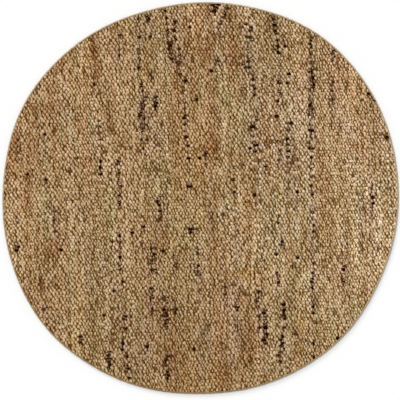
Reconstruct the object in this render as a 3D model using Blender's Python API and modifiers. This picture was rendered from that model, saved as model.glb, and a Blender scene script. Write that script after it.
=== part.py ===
"""Round jute rug: a flat handwoven field, cut to an uneven circle and bound round its edge.

Lengths are in metres and +Z is up. The rug lies on z = 0 with its middle at the origin, the thick
weft yarns along Y and the warp threads along X.
"""

import math
from collections import namedtuple

import bmesh
import bpy

# Driving dimensions
RUG_DIAMETER = 1.500  # across the binding, as the mean of all directions
FIELD_THICKNESS = 0.011  # two thick yarns, one over and one under each warp thread
BINDING_WIDTH = 0.0055  # as seen from above
BINDING_WALL = 0.0014  # the overcast yarn's thickness round the cut edge
BINDING_LIFT = 0.0004  # the binding's underside above the floor, which the field alone touches
BINDING_ROUNDING = 0.0040  # outer radius of the section's corners
SEWN_GAP = 0.0003  # between the binding and the cloth inside it
SHOULDER_WIDTH = 0.0022  # where the binding pinches the field from full thickness to the rim's
RIM_ROUNDING = 0.0020  # radius of the pinched rim's corners

STEPS_ROUND = 180  # facets round the rug
STEPS_PER_CORNER = 3  # facets in each rounded corner of a section

RUG_RADIUS = RUG_DIAMETER / 2
BINDING_INNER_RADIUS = RUG_RADIUS - BINDING_WIDTH
BINDING_TOP = FIELD_THICKNESS - BINDING_LIFT
RIM_RADIUS = RUG_RADIUS - BINDING_WALL - SEWN_GAP
RIM_BOTTOM = BINDING_LIFT + BINDING_WALL + SEWN_GAP
RIM_TOP = FIELD_THICKNESS - RIM_BOTTOM
MERGE_DISTANCE = 0.00001
SHARP_ANGLE = math.radians(40)

# The cut outline swells and draws in by a few millimetres: how many times a lobe comes round, how
# far it stands out, and the direction of its first peak from +X.
Lobe = namedtuple("Lobe", "count rise toward_deg")
OUTLINE_LOBES = (
    Lobe(count=2, rise=0.0072, toward_deg=26),
    Lobe(count=3, rise=0.0021, toward_deg=48),
    Lobe(count=4, rise=0.0062, toward_deg=-43),
    Lobe(count=5, rise=0.0014, toward_deg=5),
    Lobe(count=7, rise=0.0009, toward_deg=-1),
    Lobe(count=11, rise=0.0009, toward_deg=-9),
)

Finish = namedtuple("Finish", "name color roughness")
JUTE_FIELD = Finish("natural_jute", (0.318, 0.202, 0.095, 1.0), 0.92)
JUTE_BINDING = Finish("grey_jute_binding", (0.356, 0.246, 0.136, 1.0), 0.90)


def outline_scale(angle):
    """How far the outline stands out at this angle, as a factor of the mean radius."""
    rise = sum(
        lobe.rise * math.cos(lobe.count * (angle - math.radians(lobe.toward_deg)))
        for lobe in OUTLINE_LOBES
    )
    return 1 + rise / RUG_RADIUS


def outline_middle():
    """The middle of the outline's bounding box, which is set on the origin."""
    rim = []
    for step in range(STEPS_ROUND):
        angle = math.tau * step / STEPS_ROUND
        reach = RUG_RADIUS * outline_scale(angle)
        rim.append((reach * math.cos(angle), reach * math.sin(angle)))
    across = [x for x, y in rim]
    along = [y for x, y in rim]
    return (min(across) + max(across)) / 2, (min(along) + max(along)) / 2


def corner(middle, radius, start_deg, end_deg):
    """Points of a rounded corner in a section, from one angle to the other."""
    points = []
    for step in range(STEPS_PER_CORNER + 1):
        share = step / STEPS_PER_CORNER
        angle = math.radians(start_deg + share * (end_deg - start_deg))
        reach = middle[0] + radius * math.cos(angle)
        height = middle[1] + radius * math.sin(angle)
        points.append((reach, height))
    return points


def round_end(outer_radius, bottom, top, radius):
    """The outer end of a section with two rounded corners, from its top to its bottom."""
    reach = outer_radius - radius
    upper = corner((reach, top - radius), radius, 90, 0)
    lower = corner((reach, bottom + radius), radius, 0, -90)
    return upper + lower


def field_section():
    """Half the woven field cut through its middle, from the axis over the rim and back below."""
    shoulder_outer = BINDING_INNER_RADIUS - SEWN_GAP
    shoulder_inner = shoulder_outer - SHOULDER_WIDTH
    upper = [(0, FIELD_THICKNESS), (shoulder_inner, FIELD_THICKNESS), (shoulder_outer, RIM_TOP)]
    lower = [(shoulder_outer, RIM_BOTTOM), (shoulder_inner, 0), (0, 0)]
    return upper + round_end(RIM_RADIUS, RIM_BOTTOM, RIM_TOP, RIM_ROUNDING) + lower


def binding_section():
    """The binding's C-shaped section round the field's rim, as a closed loop."""
    outside = round_end(RUG_RADIUS, BINDING_LIFT, BINDING_TOP, BINDING_ROUNDING)
    inside = round_end(
        RUG_RADIUS - BINDING_WALL,
        BINDING_LIFT + BINDING_WALL,
        BINDING_TOP - BINDING_WALL,
        BINDING_ROUNDING - BINDING_WALL,
    )
    lip_top = (BINDING_INNER_RADIUS, BINDING_TOP)
    lip_bottom = (BINDING_INNER_RADIUS, BINDING_LIFT)
    inner_bottom = (BINDING_INNER_RADIUS, BINDING_LIFT + BINDING_WALL)
    inner_top = (BINDING_INNER_RADIUS, BINDING_TOP - BINDING_WALL)
    return [lip_top] + outside + [lip_bottom, inner_bottom] + inside[::-1] + [inner_top]


def turned_mesh(name, section, closed):
    """The mesh of a section turned once round +Z with a Screw modifier."""
    profile = bpy.data.meshes.new(name + "_profile")
    points = [(reach, 0, height) for reach, height in section]
    edges = [(first, first + 1) for first in range(len(points) - 1)]
    if closed:
        edges.append((len(points) - 1, 0))
    profile.from_pydata(points, edges, [])
    turning = bpy.data.objects.new(name + "_profile", profile)
    bpy.context.scene.collection.objects.link(turning)
    screw = turning.modifiers.new("turn", "SCREW")
    screw.axis = "Z"
    screw.steps = STEPS_ROUND
    screw.render_steps = STEPS_ROUND
    screw.use_merge_vertices = True
    screw.merge_threshold = MERGE_DISTANCE
    depsgraph = bpy.context.evaluated_depsgraph_get()
    mesh = bpy.data.meshes.new_from_object(turning.evaluated_get(depsgraph))
    bpy.data.objects.remove(turning)
    mesh.name = name
    return mesh


def ease_to_outline(mesh):
    """Moves each point of a turned mesh out or in, so that its rim follows the cut outline."""
    middle_x, middle_y = outline_middle()
    form = bmesh.new()
    form.from_mesh(mesh)
    bmesh.ops.remove_doubles(form, verts=form.verts, dist=MERGE_DISTANCE)
    for vert in form.verts:
        scale = outline_scale(math.atan2(vert.co.y, vert.co.x))
        vert.co.x = vert.co.x * scale - middle_x
        vert.co.y = vert.co.y * scale - middle_y
    form.to_mesh(mesh)
    form.free()


def make_material(finish):
    """A plain material in the piece's own colour."""
    material = bpy.data.materials.new(finish.name)
    material.use_nodes = True
    shader = material.node_tree.nodes["Principled BSDF"]
    shader.inputs["Base Color"].default_value = finish.color
    shader.inputs["Roughness"].default_value = finish.roughness
    shader.inputs["Metallic"].default_value = 0.0
    material.diffuse_color = finish.color
    return material


def add_piece(name, section, closed, finish, collection):
    """Adds one piece of the rug, turned from its section and eased to the outline."""
    mesh = turned_mesh(name, section, closed)
    ease_to_outline(mesh)
    mesh.shade_smooth()
    mesh.set_sharp_from_angle(angle=SHARP_ANGLE)
    mesh.materials.clear()
    mesh.materials.append(make_material(finish))
    piece = bpy.data.objects.new(name, mesh)
    collection.objects.link(piece)
    return piece


def build_rug():
    """Makes the woven field and its edge binding in a collection of their own."""
    for old in list(bpy.data.objects):
        bpy.data.objects.remove(old)
    collection = bpy.data.collections.new("round_jute_rug")
    bpy.context.scene.collection.children.link(collection)
    add_piece("woven_field", field_section(), False, JUTE_FIELD, collection)
    add_piece("edge_binding", binding_section(), True, JUTE_BINDING, collection)


build_rug()
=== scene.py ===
"""Looks of the round jute rug, yarn by yarn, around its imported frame.

Lengths are in metres and +Z is up. The thick weft yarns run along Y, which is up in the photo, and
cross over and under thin warp threads that run along X.
"""

from __future__ import annotations

import logging
import math
from collections.abc import Iterable
from dataclasses import dataclass, field
from enum import Enum
from typing import NamedTuple, Union

import bpy
import numpy as np
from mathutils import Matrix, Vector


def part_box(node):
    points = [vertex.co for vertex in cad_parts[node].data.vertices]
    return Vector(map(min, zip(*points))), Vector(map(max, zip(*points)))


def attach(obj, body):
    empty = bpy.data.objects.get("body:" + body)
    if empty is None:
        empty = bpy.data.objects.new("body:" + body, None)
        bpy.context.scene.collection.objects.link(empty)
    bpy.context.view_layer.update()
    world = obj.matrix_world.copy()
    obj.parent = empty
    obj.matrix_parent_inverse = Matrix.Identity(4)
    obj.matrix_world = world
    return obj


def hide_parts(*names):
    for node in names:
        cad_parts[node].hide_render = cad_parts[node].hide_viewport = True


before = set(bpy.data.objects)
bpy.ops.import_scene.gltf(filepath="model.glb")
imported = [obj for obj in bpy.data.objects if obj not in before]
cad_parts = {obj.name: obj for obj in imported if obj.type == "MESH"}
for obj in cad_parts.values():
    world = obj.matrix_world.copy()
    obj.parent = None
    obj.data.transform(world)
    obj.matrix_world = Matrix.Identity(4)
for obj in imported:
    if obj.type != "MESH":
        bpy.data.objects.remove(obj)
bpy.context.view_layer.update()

log = logging.getLogger("rug")

BODY = "root"
FIELD_NODE = "woven_field"
BINDING_NODE = "edge_binding"
BAKE_MAP = "OFBake"
YARN_MAP = "YarnLength"
DYE_LAYER = "dye"
# depth in the weave, from which the yarn material paints shade in the hollows
DEPTH_LAYER = "depth"
SEED = 41
MERGE_DISTANCE = 0.00002  # metres, between points that become one at a tube's seam or closed end
MAP_START = 1.0  # where a strand's middle lies on its yarn map, so that no part of it is below 0
BAKE_FILL = 0.9  # share of its row in the bake map that a strand covers
BAKE_MARGIN = (1 - BAKE_FILL) / 2

PHOTO_SIDE = 400  # pixels, both ways
PHOTO_MIDDLE = (200.55, 197.95)  # pixel that the middle of the rug lies on
PHOTO_RUG_WIDTH = 396.65  # pixels from the rug's left side to its right

Color = tuple[float, float, float, float]
Table = dict[str, object]


def linear(red: int, green: int, blue: int) -> Color:
    """Turns a colour as read off a screen, 0 to 255, into the linear light that shaders take.

    Args:
        red: Red level.
        green: Green level.
        blue: Blue level.

    Returns:
        The linear colour, opaque.
    """
    knee, slope, offset, power = 0.04045, 12.92, 0.055, 2.4
    levels = []
    for level in (red / 255, green / 255, blue / 255):
        curve = ((level + offset) / (1 + offset)) ** power
        levels.append(level / slope if level <= knee else curve)
    return (levels[0], levels[1], levels[2], 1.0)


class Dye(Enum):
    """Colours of jute fibre in this rug, as yarn in plain light."""

    TAN = linear(200, 175, 137)
    STRAW = linear(220, 193, 155)
    HONEY = linear(200, 160, 102)
    RUSSET = linear(172, 115, 63)
    PEACH = linear(209, 164, 127)
    OLIVE = linear(174, 160, 112)
    SAGE = linear(186, 174, 138)
    GREY = linear(182, 164, 136)
    MAUVE = linear(188, 161, 140)
    EDGE = linear(176, 155, 124)
    UMBER = linear(106, 63, 16)
    SHADOW = linear(72, 40, 6)
    BLACK = linear(30, 6, 0)


# --- Arithmetic in node trees ---------------------------------------------------------------------


class Term:
    """One value in a node tree, which takes part in sums as a number does."""

    def __init__(self, graph: Graph, socket: bpy.types.NodeSocket) -> None:
        """Wraps a socket of a graph."""
        self.graph = graph
        self.socket = socket

    def __add__(self, other: Operand) -> Term:
        """Sum."""
        return self.graph.math("ADD", self, other)

    def __sub__(self, other: Operand) -> Term:
        """Difference."""
        return self.graph.math("SUBTRACT", self, other)

    def __rsub__(self, other: Operand) -> Term:
        """Difference with a number on the left."""
        return self.graph.math("SUBTRACT", other, self)

    def __mul__(self, other: Operand) -> Term:
        """Product."""
        return self.graph.math("MULTIPLY", self, other)

    def __truediv__(self, other: Operand) -> Term:
        """Quotient."""
        return self.graph.math("DIVIDE", self, other)

    def __pow__(self, other: Operand) -> Term:
        """Power."""
        return self.graph.math("POWER", self, other)

    def clamped(self, low: float, high: float) -> Term:
        """This value held between two others."""
        return self.graph.math("MINIMUM", self.graph.math("MAXIMUM", self, low), high)


Operand = Union[Term, float]


class Graph:
    """A node tree while it is drawn, with short ways to add nodes, values and arithmetic."""

    def __init__(self, tree: bpy.types.NodeTree) -> None:
        """Starts from a tree that has no nodes worth keeping."""
        self.tree = tree
        self.tree.nodes.clear()

    @classmethod
    def material(cls, name: str) -> tuple[bpy.types.Material, Graph]:
        """A new material, and its tree."""
        made = bpy.data.materials.new(name)
        made.use_nodes = True
        return made, cls(made.node_tree)

    @classmethod
    def geometry(cls, name: str) -> Graph:
        """A new Geometry Nodes tree that gives one geometry."""
        graph = cls(bpy.data.node_groups.new(name, "GeometryNodeTree"))
        graph.tree.interface.new_socket("Geometry", in_out="OUTPUT", socket_type="NodeSocketGeometry")
        return graph

    def entries(self, inputs: Table) -> list[Term]:
        """Adds named inputs to the tree, which the modifier shows.

        Args:
            inputs: Their defaults by name: whole numbers, numbers or materials.

        Returns:
            The inputs' values in the tree, in the same order.
        """
        kinds = {int: "Int", float: "Float"}
        for name, value in inputs.items():
            kind = "NodeSocket" + kinds.get(type(value), "Material")
            made = self.tree.interface.new_socket(name, in_out="INPUT", socket_type=kind)
            made.default_value = value
        group = self.tree.nodes.new("NodeGroupInput")
        return [Term(self, group.outputs[name]) for name in inputs]

    def node(self, kind: str, values: Table | None = None, **settings: object) -> bpy.types.Node:
        """Adds a node.

        Args:
            kind: Blender's name for the node.
            values: Its inputs by name, as numbers, names, materials or terms.
            **settings: Its own properties, set first because some change its inputs.

        Returns:
            The node.
        """
        made = self.tree.nodes.new(kind)
        for key, setting in settings.items():
            setattr(made, key, setting)
        for key, value in (values or {}).items():
            self.feed(made.inputs[key], value)
        return made

    def feed(self, slot: bpy.types.NodeSocket, value: object) -> None:
        """Links a term to an input, or sets the input to a plain value."""
        if isinstance(value, Term):
            self.tree.links.new(value.socket, slot)
        else:
            slot.default_value = value

    def term(self, kind: str, values: Table | None = None, out: str = "", **settings: object) -> Term:
        """Adds a node and gives one of its outputs.

        Args:
            kind: Blender's name for the node.
            values: Its inputs by name.
            out: The output's name, or nothing for the first.
            **settings: The node's own properties.

        Returns:
            The output.
        """
        made = self.node(kind, values, **settings)
        return Term(self, made.outputs[out] if out else made.outputs[0])

    def math(self, operation: str, *operands: Operand) -> Term:
        """Adds one step of arithmetic."""
        made = self.tree.nodes.new("ShaderNodeMath")
        made.operation = operation
        for slot, operand in zip(made.inputs, operands):
            self.feed(slot, operand)
        return Term(self, made.outputs[0])

    def sin(self, angle: Operand) -> Term:
        """Sine of an angle in radians."""
        return self.math("SINE", angle)

    def cos(self, angle: Operand) -> Term:
        """Cosine of an angle in radians."""
        return self.math("COSINE", angle)

    def vector(self, x: Operand, y: Operand, z: Operand) -> Term:
        """Three values as one vector."""
        return self.term("ShaderNodeCombineXYZ", {"X": x, "Y": y, "Z": z})

    def parts(self, vector: Term) -> tuple[Term, Term, Term]:
        """A vector as its three values."""
        made = self.node("ShaderNodeSeparateXYZ", {"Vector": vector})
        return Term(self, made.outputs[0]), Term(self, made.outputs[1]), Term(self, made.outputs[2])

    def noise(self, vector: Term, scale: float, detail: float, out: str = "Fac") -> Term:
        """Smooth noise at a place, from about 0 to 1."""
        values = {"Vector": vector, "Scale": scale, "Detail": detail}
        return self.term("ShaderNodeTexNoise", values, out)

    def chance(self, vector: Term) -> tuple[Term, Term, Term]:
        """Three random values from 0 to 1, the same wherever the vector is the same."""
        return self.parts(self.term("ShaderNodeTexWhiteNoise", {"Vector": vector}, "Color"))

    def mix(self, share: Operand, first: object, second: object, blend: str = "MIX") -> Term:
        """Mixes two colours.

        Args:
            share: How much of the second there is, from 0 to 1.
            first: A term or a plain colour.
            second: Another.
            blend: Blender's name for the kind of mixing.

        Returns:
            The mixed colour.
        """
        made = self.node("ShaderNodeMix", data_type="RGBA", blend_type=blend)
        slots = [slot for slot in made.inputs if slot.enabled]
        for slot, value in zip(slots, (share, first, second), strict=True):
            self.feed(slot, value)
        return Term(self, next(slot for slot in made.outputs if slot.enabled))

    def surface(self, color: Term, rough: Term, bump: Term, specular: float) -> None:
        """Ends a material's tree in one surface.

        Args:
            color: Its colour.
            rough: Its roughness.
            bump: Its normal.
            specular: How strongly it shines, where 0.5 is plain gloss.
        """
        values = {"Base Color": color, "Roughness": rough, "Normal": bump}
        shader = self.node("ShaderNodeBsdfPrincipled", values)
        shader.inputs["Specular IOR Level"].default_value = specular
        out = self.node("ShaderNodeOutputMaterial")
        self.tree.links.new(shader.outputs[0], out.inputs[0])

    def named(self, name: str) -> Term:
        """A number stored on the geometry."""
        return self.term("GeometryNodeInputNamedAttribute", {"Name": name}, "Attribute")

    def store(self, shape: Term, name: str, value: Operand) -> Term:
        """Stores a number on the points of the geometry."""
        values = {"Geometry": shape, "Name": name, "Value": value}
        return self.term("GeometryNodeStoreNamedAttribute", values)

    def store_map(self, shape: Term, name: str, across: Operand, up: Operand) -> Term:
        """Stores a UV map on the geometry."""
        values = {"Geometry": shape, "Name": name, "Value": self.vector(across, up, 0.0)}
        kind = "GeometryNodeStoreNamedAttribute"
        return self.term(kind, values, data_type="FLOAT2", domain="CORNER")

    def index(self) -> Term:
        """Each point's number, from 0."""
        return self.term("GeometryNodeInputIndex") + 0.0

    def moved(self, shape: Term, x: Operand, y: Operand, z: Operand) -> Term:
        """Sets every point of a shape on its own place."""
        values = {"Geometry": shape, "Position": self.vector(x, y, z)}
        return self.term("GeometryNodeSetPosition", values)

    def repeated(self, line: Term, strand: Term, chosen: object = True) -> Term:
        """Lays a copy of a strand for each chosen point of a line.

        Args:
            line: The points, with the numbers that their copies are to keep.
            strand: The strand.
            chosen: Which of the points are chosen.

        Returns:
            The copies, as real geometry.
        """
        values = {"Points": line, "Instance": strand, "Selection": chosen}
        many = self.term("GeometryNodeInstanceOnPoints", values)
        return self.term("GeometryNodeRealizeInstances", {"Geometry": many})

    def strip(self, sides: int, rings: int) -> tuple[Term, Term]:
        """A flat strip of points that is to be rolled up into a tube.

        Args:
            sides: Faces round the tube.
            rings: Rings of points along it.

        Returns:
            The strip, with turns round the tube stored on it, and each point's place along it from
            -0.5 to 0.5.
        """
        grid = {"Size X": 1.0, "Size Y": 1.0, "Vertices X": sides + 1, "Vertices Y": rings}
        shape = self.term("GeometryNodeMeshGrid", grid)
        across, along, _ = self.parts(self.term("GeometryNodeInputPosition"))
        return self.store(shape, "turn", across + 0.5), along

    def end(self, shape: Term, material: Term, merge: float = MERGE_DISTANCE) -> None:
        """Ends a Geometry Nodes tree: closed tubes as real meshes, smooth, in their material."""
        closed = self.term("GeometryNodeMergeByDistance", {"Geometry": shape, "Distance": merge})
        smooth = self.term("GeometryNodeSetShadeSmooth", {"Geometry": closed})
        real = self.term("GeometryNodeRealizeInstances", {"Geometry": smooth})
        dressed = self.term("GeometryNodeSetMaterial", {"Geometry": real, "Material": material})
        self.tree.links.new(dressed.socket, self.tree.nodes.new("NodeGroupOutput").inputs[0])

    def grown(self, name: str, inputs: Table) -> bpy.types.Object:
        """Runs this Geometry Nodes tree once and keeps the result as a plain mesh.

        Args:
            name: The new piece's name.
            inputs: The tree's inputs by name.

        Returns:
            The piece.
        """
        carrier = bpy.data.objects.new(name + "_carrier", bpy.data.meshes.new(name + "_carrier"))
        bpy.context.scene.collection.objects.link(carrier)
        modifier = carrier.modifiers.new("grow", "NODES")
        modifier.node_group = self.tree
        for socket in self.tree.interface.items_tree:
            if socket.in_out == "INPUT" and socket.name in inputs:
                modifier[socket.identifier] = inputs[socket.name]
        evaluated = carrier.evaluated_get(bpy.context.evaluated_depsgraph_get())
        mesh = bpy.data.meshes.new_from_object(evaluated)
        bpy.data.objects.remove(carrier)
        mesh.name = name
        return add_piece(name, mesh)


def add_piece(name: str, mesh: bpy.types.Mesh) -> bpy.types.Object:
    """Puts a finished mesh in the scene as a piece of its own."""
    piece = bpy.data.objects.new(name, mesh)
    bpy.context.scene.collection.objects.link(piece)
    return piece


# --- The cut outline ------------------------------------------------------------------------------


class Lobe(NamedTuple):
    """One even swelling of the outline."""

    count: int  # times round the rug
    rise: float  # metres
    toward_deg: float  # direction of its first peak from +X


@dataclass(frozen=True)
class Outline:
    """The rug's uneven cut circle, the same as the frame's."""

    radius: float = 0.750
    steps: int = 180  # facets round the frame, by which its middle is found
    lobes: tuple[Lobe, ...] = (
        Lobe(count=2, rise=0.0072, toward_deg=26),
        Lobe(count=3, rise=0.0021, toward_deg=48),
        Lobe(count=4, rise=0.0062, toward_deg=-43),
        Lobe(count=5, rise=0.0014, toward_deg=5),
        Lobe(count=7, rise=0.0009, toward_deg=-1),
        Lobe(count=11, rise=0.0009, toward_deg=-9),
    )

    def scale(self, angle: np.ndarray) -> np.ndarray:
        """How far the outline stands out at these angles, as a factor of the radius."""
        found = np.ones_like(angle)
        for lobe in self.lobes:
            turned = lobe.count * (angle - math.radians(lobe.toward_deg))
            found += lobe.rise / self.radius * np.cos(turned)
        return found

    def ring(self, steps: int, inset: float = 0.0) -> np.ndarray:
        """Points round the outline before it is set on the origin, or round a line inside it.

        Args:
            steps: Number of points.
            inset: How far inside the outline they lie.

        Returns:
            One row of x and y for each point.
        """
        angle = np.arange(steps) * math.tau / steps
        reach = (self.radius - inset) * self.scale(angle)
        return np.stack([reach * np.cos(angle), reach * np.sin(angle)], 1)

    def middle(self) -> np.ndarray:
        """The middle of the outline's bounding box before it is set on the origin."""
        ring = self.ring(self.steps)
        return (ring.min(0) + ring.max(0)) / 2

    def rim(self, steps: int, inset: float = 0.0) -> np.ndarray:
        """Points round the outline where it lies, or round a line inside it."""
        return self.ring(steps, inset) - self.middle()

    def area(self, steps: int = 720) -> float:
        """The area inside the outline."""
        rim = self.rim(steps)
        after = np.roll(rim, -1, 0)
        return float(np.abs((rim[:, 0] * after[:, 1] - rim[:, 1] * after[:, 0]).sum()) / 2)

    def swell(self, graph: Graph, angle: Term) -> Operand:
        """Writes the outline's scale at an angle into a tree."""
        scale: Operand = 1.0
        for lobe in self.lobes:
            turned = (angle - math.radians(lobe.toward_deg)) * lobe.count
            scale = graph.cos(turned) * (lobe.rise / self.radius) + scale
        return scale

    def polar(self, graph: Graph, x: Term, y: Term) -> tuple[Term, Operand]:
        """A place's distance from the middle, and the outline's scale in its direction.

        Args:
            graph: The tree to write in.
            x: Place along X.
            y: Place along Y.

        Returns:
            The distance and the scale.
        """
        middle = self.middle()
        from_x, from_y = x + float(middle[0]), y + float(middle[1])
        scale = self.swell(graph, graph.math("ARCTAN2", from_y, from_x))
        return graph.math("SQRT", from_x * from_x + from_y * from_y), scale


# --- Finishes -------------------------------------------------------------------------------------


class Grain(NamedTuple):
    """How fine a pattern is that runs with the fibres."""

    along: float  # marks a metre
    round: float  # marks round the yarn
    layer: float  # which of several unlike patterns it is
    detail: float  # how many finer layers it has


@dataclass(frozen=True)
class YarnFinish:
    """Spun jute: fibres that run along the yarn with a slow twist, with shade painted into the hollows.
    """

    name: str = "spun_jute"
    plain_dye: Dye | None = None  # one colour for all, or each yarn's own where None
    fibres: Grain = Grain(along=105.0, round=16.0, layer=0.0, detail=4.0)
    hairs: Grain = Grain(along=200.0, round=45.0, layer=3.0, detail=2.0)
    mottles: Grain = Grain(along=150.0, round=4.0, layer=5.0, detail=3.0)
    # noise that makes the painted shade in the hollows uneven
    shade_grain: Grain = Grain(along=110.0, round=4.0, layer=7.0, detail=2.0)
    specks: Grain = Grain(along=200.0, round=3.5, layer=9.0, detail=1.0)
    fibre_light: float = 0.8  # how much lighter a fibre is than the gap beside it
    hair_light: float = 0.7  # and a hair
    least_light: float = 0.25  # what both are added to
    mottle: float = 1.08  # how much lighter or darker the mottles are
    mottle_middle: float = 1.05  # light between them
    brightest: float = 1.2
    warmth: tuple[float, float] = (0.71, 1.65)  # how red and blue fall off in shade, against green
    hollow_shade: float = 0.20  # how dark the painted shade makes the yarn deep in the weave
    hollow_depth: float = 0.44  # share of the half thickness below which it is that dark
    open_depth: float = 0.71  # share of the half thickness above which it is in the open
    patchiness: float = 2.0  # how uneven the painted shade in the hollows is
    hollow_fray: float = 0.35  # how far hairs fray the painted shade's edges
    speck_gain: float = 1.5  # how soon specks close up as there is more black fibre
    speck_start: float = 0.12  # black fibre below which none shows
    speck_spread: float = 2.6  # how unlike one another they are
    speck_most: float = 2.0  # where that unlikeness ends
    speck_edge: float = 8.0  # how crisp they are
    speck_fray: float = 0.9  # how far hairs fray their edges
    ring: float = 0.06  # how far the brown round a black speck reaches
    painted_side_shade: float = 0.0  # how much darker the painted shade makes the side turned from the light, at most
    painted_shade_toward_deg: float = -105.0  # direction of that side from +X
    painted_shade_reach: tuple[float, float] = (0.22, 0.75)  # metres that way from none to most
    twist_length: float = 0.055  # metres of yarn for one turn
    plies: float = 2.0
    fibre_bump: float = 0.6  # height of the fibres, in shares of the relief
    hair_bump: float = 0.4
    ply_bump: float = 0.45
    relief: float = 0.0007
    bump_strength: float = 0.8
    roughness: float = 0.80
    hair_roughness: float = 0.14  # what hairs add
    specular: float = 0.01

    def made(self) -> bpy.types.Material:
        """Builds the material.

        Returns:
            The material, which reads the yarn's own map, depth and dye.
        """
        material, graph = Graph.material(self.name)
        along, turn, _ = graph.parts(graph.term("ShaderNodeUVMap", uv_map=YARN_MAP))
        twisted = turn + along * (1 / self.twist_length)
        grains = (self.fibres, self.hairs, self.mottles, self.shade_grain, self.specks)
        marks = [self.marked(graph, along, twisted, grain) for grain in grains]
        fibre, hair, mottle, shade_jitter, speck = marks
        fray = hair - 0.5
        patch = (mottle - 0.5) * (2 * self.mottle) + self.mottle_middle
        light = fibre * self.fibre_light + hair * self.hair_light + self.least_light
        shade = light * patch.clamped(0.0, self.brightest)
        if self.plain_dye is None:
            # painted shade in the hollows, from the yarn's stored depth in the weave
            shade = shade * self.painted_hollow_shade(graph, shade_jitter + fray * self.hollow_fray)
            dye = graph.term("ShaderNodeAttribute", out="Color", attribute_name=DYE_LAYER)
        else:
            # painted shade on the side of the rug turned from the light, for plain-dyed yarn
            shade = shade * self.side_shade_factor(graph)
            dye = self.plain_dye.value
        # shade holds the fibres' and mottles' own tone times the painted shade
        levels = {"Red": shade ** self.warmth[0], "Green": shade, "Blue": shade ** self.warmth[1]}
        shadow = graph.term("ShaderNodeCombineColor", levels)
        color = graph.mix(1.0, dye, shadow, "MULTIPLY")
        if self.plain_dye is None:
            color = self.speckled(graph, speck + fray * self.speck_fray, color)
        ply = graph.cos(twisted * (math.tau * self.plies)) * 0.5 + 0.5
        height = fibre * self.fibre_bump + hair * self.hair_bump + ply * self.ply_bump
        bumps = {"Height": height, "Distance": self.relief, "Strength": self.bump_strength}
        rough = (hair * self.hair_roughness + self.roughness).clamped(0.0, 1.0)
        graph.surface(color, rough, graph.term("ShaderNodeBump", bumps), self.specular)
        return material

    def marked(self, graph: Graph, along: Term, twisted: Term, grain: Grain) -> Term:
        """Noise that runs with the fibres.

        Args:
            graph: The material's tree.
            along: Metres along the yarn.
            twisted: Turns round it, which its twist carries on.
            grain: How fine the noise is.

        Returns:
            The noise, from about 0 to 1.
        """
        place = graph.vector(along * grain.along, twisted * grain.round, grain.layer)
        return graph.noise(place, 1.0, grain.detail)

    def speckled(self, graph: Graph, speck: Term, color: Term) -> Term:
        """Spins black fibre into the yarn, as crisp specks that close up where there is much of it.

        Args:
            graph: The material's tree.
            speck: Noise that places them.
            color: The yarn's colour without them.

        Returns:
            The colour with them.
        """
        amount = graph.term("ShaderNodeAttribute", out="Alpha", attribute_name=DYE_LAYER)
        grain = ((speck - 0.5) * self.speck_spread + 0.5).clamped(0.0, self.speck_most)
        excess = amount * self.speck_gain - grain - self.speck_start
        for dye, reach in ((Dye.UMBER, self.ring), (Dye.BLACK, 0.0)):
            cover = ((excess + reach) * self.speck_edge).clamped(0.0, 1.0)
            color = graph.mix(cover, color, dye.value)
        return color

    def side_shade_factor(self, graph: Graph) -> Term:
        """Painted shade along the side of the rug turned from the light, as a factor from 1 down."""
        x, y, _ = graph.parts(graph.term("ShaderNodeTexCoord", out="Object"))
        toward = math.radians(self.painted_shade_toward_deg)
        start, end = self.painted_shade_reach
        share = (x * math.cos(toward) + y * math.sin(toward) - start) / (end - start)
        return share.clamped(0.0, 1.0) * -self.painted_side_shade + 1.0

    def painted_hollow_shade(self, graph: Graph, shade_jitter: Term) -> Term:
        """Painted shade in the hollows: how open the yarn lies to the light, from its stored depth in
        the weave.

        Args:
            graph: The material's tree.
            shade_jitter: Noise that makes the painted shade in the hollows uneven.

        Returns:
            1 on the crests, falling to the painted shade of the hollows.
        """
        depth = graph.term("ShaderNodeAttribute", out="Fac", attribute_name=DEPTH_LAYER)
        depth = depth + (shade_jitter - 0.5) * self.patchiness
        span = self.open_depth - self.hollow_depth
        share = ((depth - self.hollow_depth) / span).clamped(0.0, 1.0)
        return share * (1 - self.hollow_shade) + self.hollow_shade


@dataclass(frozen=True)
class ClothFinish:
    """Close plain weave of thin dark jute threads, for the ground between the thick yarns; its darkness
    is partly painted shade deep in the weave.
    """

    name: str = "warp_cloth"
    # dark brown, partly painted shade of the weave's depths
    dye: Dye = Dye.SHADOW
    threads_per_metre: float = 420.0
    fibres_per_metre: float = 900.0
    fibre_detail: float = 3.0
    thread_light: float = 0.3  # how much lighter a thread is than the gap beside it
    fibre_light: float = 0.5  # and a fibre
    least_light: float = 0.5  # what both are added to
    relief: float = 0.0006
    roughness: float = 0.82
    fibre_roughness: float = 0.12  # what loose fibre adds
    specular: float = 0.2

    def made(self) -> bpy.types.Material:
        """Builds the material.

        Returns:
            The material, which reads Object coordinates.
        """
        material, graph = Graph.material(self.name)
        place = graph.term("ShaderNodeTexCoord", out="Object")
        x, y, _ = graph.parts(place)
        across = graph.sin(x * (math.pi * self.threads_per_metre))
        along = graph.sin(y * (math.pi * self.threads_per_metre))
        weave = across * along * 0.5 + 0.5
        fibre = graph.noise(place, self.fibres_per_metre, self.fibre_detail)
        light = weave * self.thread_light + fibre * self.fibre_light + self.least_light
        # mixed towards black: the cloth's own dark tone and painted shade
        color = graph.mix(light.clamped(0.0, 1.0), Dye.BLACK.value, self.dye.value)
        bump = graph.term("ShaderNodeBump", {"Height": weave + fibre, "Distance": self.relief})
        rough = fibre * self.fibre_roughness + self.roughness
        graph.surface(color, rough, bump, self.specular)
        return material


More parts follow.
